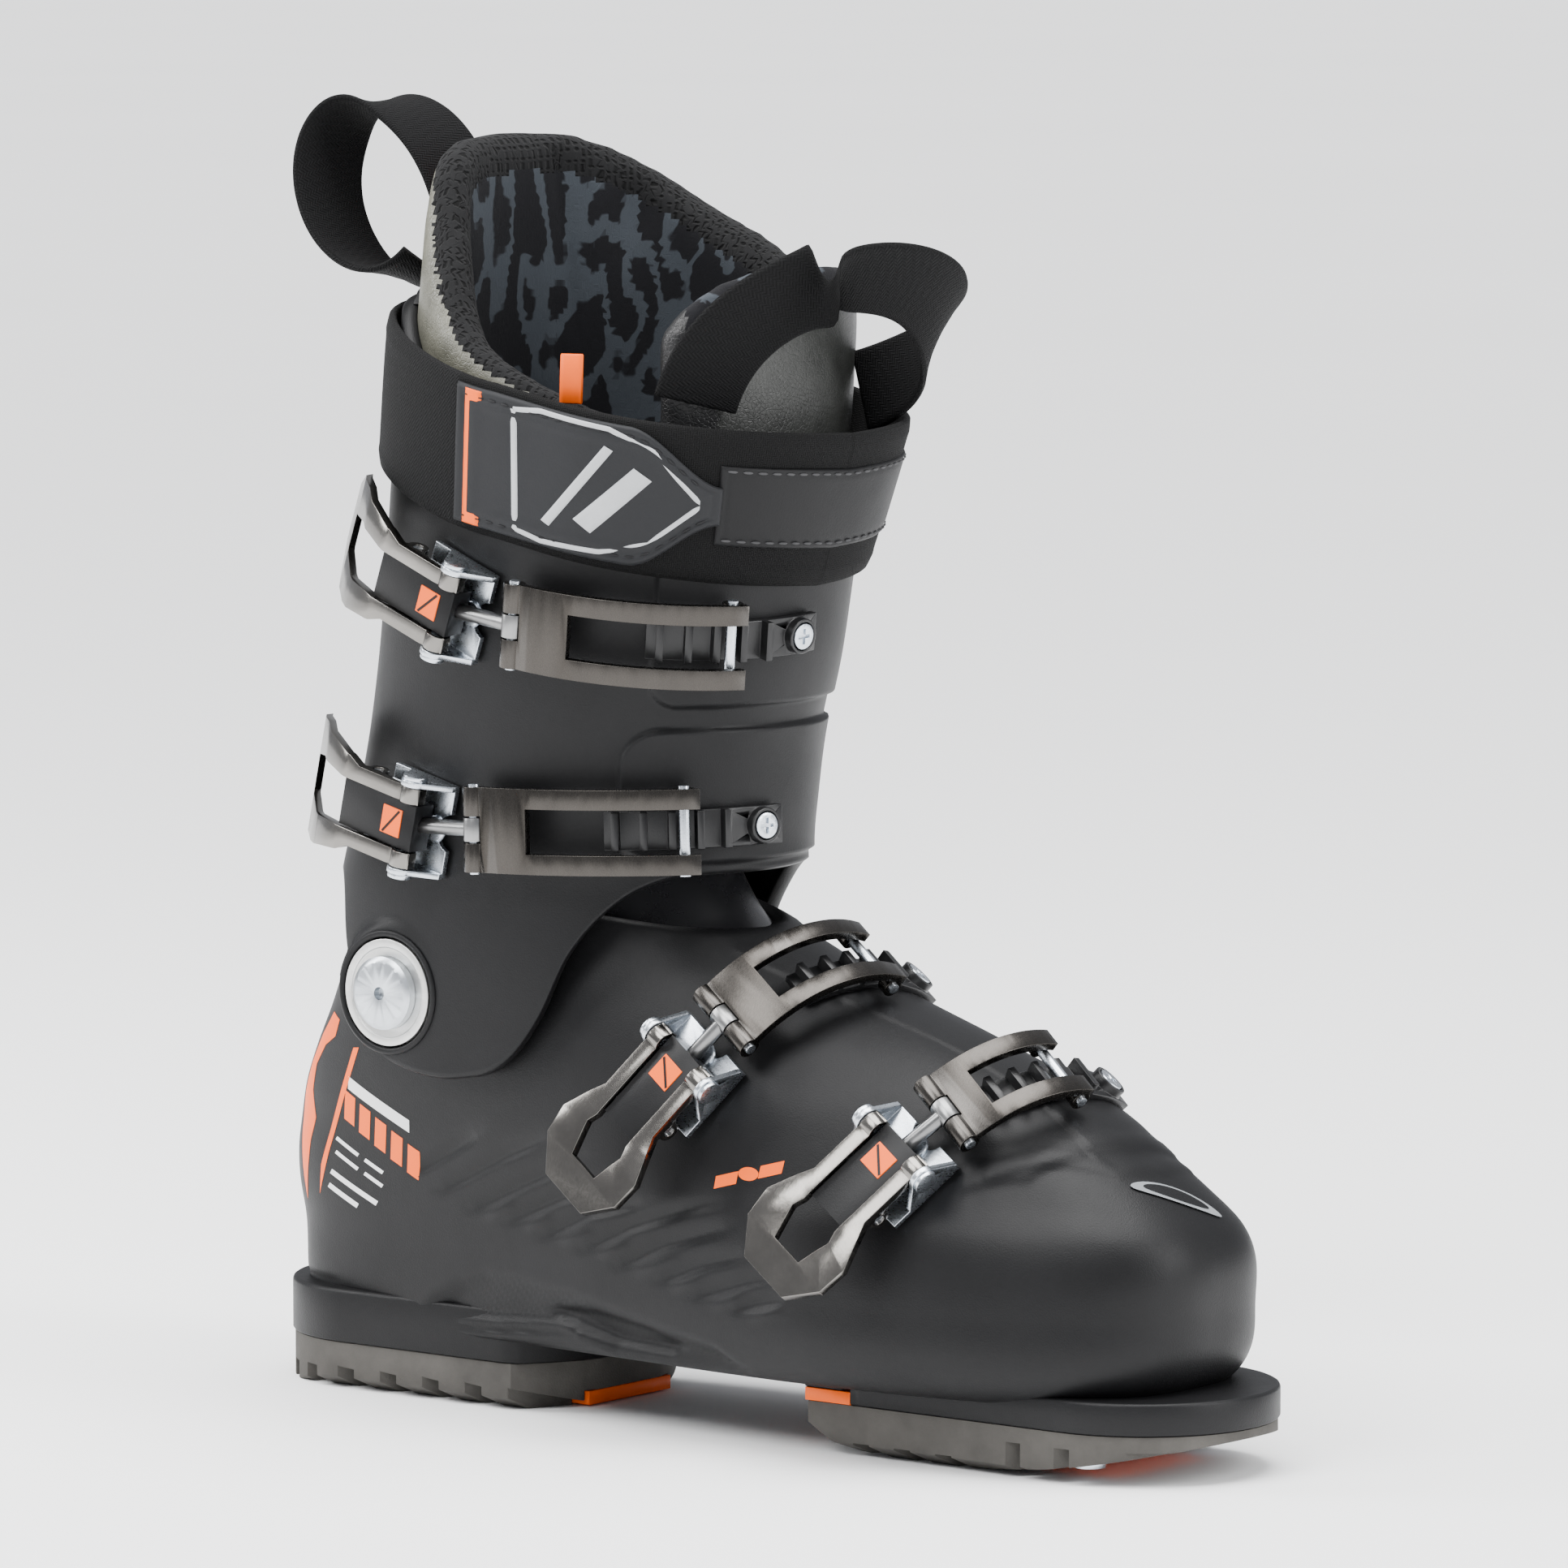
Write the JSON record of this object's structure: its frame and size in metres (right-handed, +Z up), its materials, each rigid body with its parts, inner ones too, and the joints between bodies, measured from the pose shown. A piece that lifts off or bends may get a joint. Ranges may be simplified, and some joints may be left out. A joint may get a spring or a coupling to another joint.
{
  "type": "alpine ski boot",
  "caption": "Right-foot alpine ski boot: hard lower shell and hinged cuff closed with lever buckles, padded liner with pull loops, wide power strap and lugged walking soles.",
  "frame": {"origin": "on the ground under the mid-sole point, halfway along the sole and on its centre line", "axes": "+X towards the toe, +Y to the inner side of the foot, +Z up; the buckles' levers are on the outer side, -Y"},
  "size_m": [0.305, 0.1275, 0.3391],
  "materials": {
    "shell_plastic": "matte moulded polyurethane, near black",
    "sole_rubber": "grey tread rubber, matte",
    "orange_plastic": "orange moulded plastic",
    "board_plastic": "grey moulded foam board",
    "footbed_foam": "fabric-topped foam",
    "liner_fabric": "dark padded knit and fleece",
    "tongue_leather": "padded black synthetic leather",
    "gaiter_rubber": "soft satin black elastomer",
    "spoiler_plastic": "black moulded plastic",
    "strap_webbing": "black woven webbing",
    "patch_rubber": "dark grey moulded rubber",
    "loop_webbing": "black ribbed webbing",
    "disc_metal": "satin pale aluminium",
    "bolt_steel": "satin steel",
    "zinc_steel": "bright zinc plating",
    "lever_metal": "dark nickel plated casting",
    "bail_metal": "gunmetal anodised casting",
    "rod_steel": "dark steel",
    "barrel_plastic": "black moulded plastic",
    "rack_plastic": "black moulded plastic"
  },
  "bodies": {
    "shell": {"lower_shell": "shell_plastic", "toe_sole": "sole_rubber", "heel_sole": "sole_rubber", "toe_plate": "orange_plastic", "toe_shim": "orange_plastic", "heel_plate": "orange_plastic", "sole_screws": "zinc_steel", "boot_board": "board_plastic", "footbed": "footbed_foam", "liner_foot": "liner_fabric", "instep_gaiter": "gaiter_rubber", "pivot_bolts": "bolt_steel", "pivot_nuts": "zinc_steel", "shell_rivets": "zinc_steel", "shell_rack_screws": "zinc_steel", "base_3": "zinc_steel", "base_4": "zinc_steel", "rack_3": "rack_plastic", "rack_4": "rack_plastic"},
    "cuff": {"cuff": "shell_plastic", "liner_cuff": "liner_fabric", "liner_tongue": "tongue_leather", "rear_spoiler": "spoiler_plastic", "pivot_discs": "disc_metal", "cuff_rivets": "zinc_steel", "cuff_rack_screws": "zinc_steel", "rear_screws": "zinc_steel", "power_strap": "strap_webbing", "strap_patch": "patch_rubber", "loop_rear": "loop_webbing", "loop_front": "loop_webbing", "base_1": "zinc_steel", "base_2": "zinc_steel", "rack_1": "rack_plastic", "rack_2": "rack_plastic"},
    "lever_1": {"lever_1": "lever_metal", "link_pin_1": "zinc_steel"},
    "link_1": {"barrel_1": "barrel_plastic", "rod_1": "rod_steel"},
    "bail_1": {"bail_1": "bail_metal", "bail_pins_1": "zinc_steel"},
    "lever_2": {"lever_2": "lever_metal", "link_pin_2": "zinc_steel"},
    "link_2": {"barrel_2": "barrel_plastic", "rod_2": "rod_steel"},
    "bail_2": {"bail_2": "bail_metal", "bail_pins_2": "zinc_steel"},
    "lever_3": {"lever_3": "lever_metal", "link_pin_3": "zinc_steel"},
    "link_3": {"barrel_3": "barrel_plastic", "rod_3": "rod_steel"},
    "bail_3": {"bail_3": "bail_metal", "bail_pins_3": "zinc_steel"},
    "lever_4": {"lever_4": "lever_metal", "link_pin_4": "zinc_steel"},
    "link_4": {"barrel_4": "barrel_plastic", "rod_4": "rod_steel"},
    "bail_4": {"bail_4": "bail_metal", "bail_pins_4": "zinc_steel"}
  },
  "joints": [
    {"name": "cuff_flex", "type": "hinge", "parent": "shell", "child": "cuff", "pos_m": [-0.09, 0, 0.1085], "axis": [0, 1, 0], "range_deg": [0, 5], "stiffness_Nm_per_rad": 350},
    {"name": "lever_1_swing", "type": "hinge", "parent": "cuff", "child": "lever_1", "pos_m": [-0.06049, -0.05913, 0.2104], "axis": [0.3733, -0.0844, 0.9239], "range_deg": [0, 112]},
    {"name": "link_1_swing", "type": "hinge", "parent": "lever_1", "child": "link_1", "pos_m": [-0.07427, -0.05676, 0.21618], "axis": [0.3733, -0.0844, 0.9239], "range_deg": [-77, 0]},
    {"name": "bail_1_swing", "type": "hinge", "parent": "link_1", "child": "bail_1", "pos_m": [-0.03954, -0.05709, 0.2077], "axis": [0.1347, -0.0756, 0.988], "range_deg": [-70, 0]},
    {"name": "lever_2_swing", "type": "hinge", "parent": "cuff", "child": "lever_2", "pos_m": [-0.07664, -0.05477, 0.15347], "axis": [0.2249, -0.0194, 0.9742], "range_deg": [0, 112]},
    {"name": "link_2_swing", "type": "hinge", "parent": "lever_2", "child": "link_2", "pos_m": [-0.09107, -0.05173, 0.15687], "axis": [0.2249, -0.0194, 0.9742], "range_deg": [-77, 0]},
    {"name": "bail_2_swing", "type": "hinge", "parent": "link_2", "child": "bail_2", "pos_m": [-0.05548, -0.0533, 0.15398], "axis": [-0.0238, -0.0013, 0.9997], "range_deg": [-70, 0]},
    {"name": "lever_3_swing", "type": "hinge", "parent": "shell", "child": "lever_3", "pos_m": [0.00734, -0.04758, 0.09886], "axis": [-0.8212, 0.1372, 0.5539], "range_deg": [0, 112]},
    {"name": "link_3_swing", "type": "hinge", "parent": "lever_3", "child": "link_3", "pos_m": [-0.00129, -0.05098, 0.0869], "axis": [-0.8212, 0.1372, 0.5539], "range_deg": [-77, 0]},
    {"name": "bail_3_swing", "type": "hinge", "parent": "link_3", "child": "bail_3", "pos_m": [0.01573, -0.03958, 0.10884], "axis": [-0.8112, 0.1433, 0.5669], "range_deg": [-70, 0]},
    {"name": "lever_4_swing", "type": "hinge", "parent": "shell", "child": "lever_4", "pos_m": [0.07388, -0.04523, 0.0818], "axis": [-0.8243, 0.1066, 0.556], "range_deg": [0, 112]},
    {"name": "link_4_swing", "type": "hinge", "parent": "lever_4", "child": "link_4", "pos_m": [0.06555, -0.05099, 0.07055], "axis": [-0.8243, 0.1066, 0.556], "range_deg": [-77, 0]},
    {"name": "bail_4_swing", "type": "hinge", "parent": "link_4", "child": "bail_4", "pos_m": [0.08245, -0.03508, 0.09033], "axis": [-0.7793, 0.1462, 0.6093], "range_deg": [-70, 0]}
  ],
  "couplings": [
    {"joint": "link_1_swing", "follows": "lever_1_swing", "ratio": -0.6667},
    {"joint": "bail_1_swing", "follows": "lever_1_swing", "ratio": -0.6},
    {"joint": "link_2_swing", "follows": "lever_2_swing", "ratio": -0.6667},
    {"joint": "bail_2_swing", "follows": "lever_2_swing", "ratio": -0.6},
    {"joint": "link_3_swing", "follows": "lever_3_swing", "ratio": -0.6667},
    {"joint": "bail_3_swing", "follows": "lever_3_swing", "ratio": -0.6},
    {"joint": "link_4_swing", "follows": "lever_4_swing", "ratio": -0.6667},
    {"joint": "bail_4_swing", "follows": "lever_4_swing", "ratio": -0.6}
  ]
}
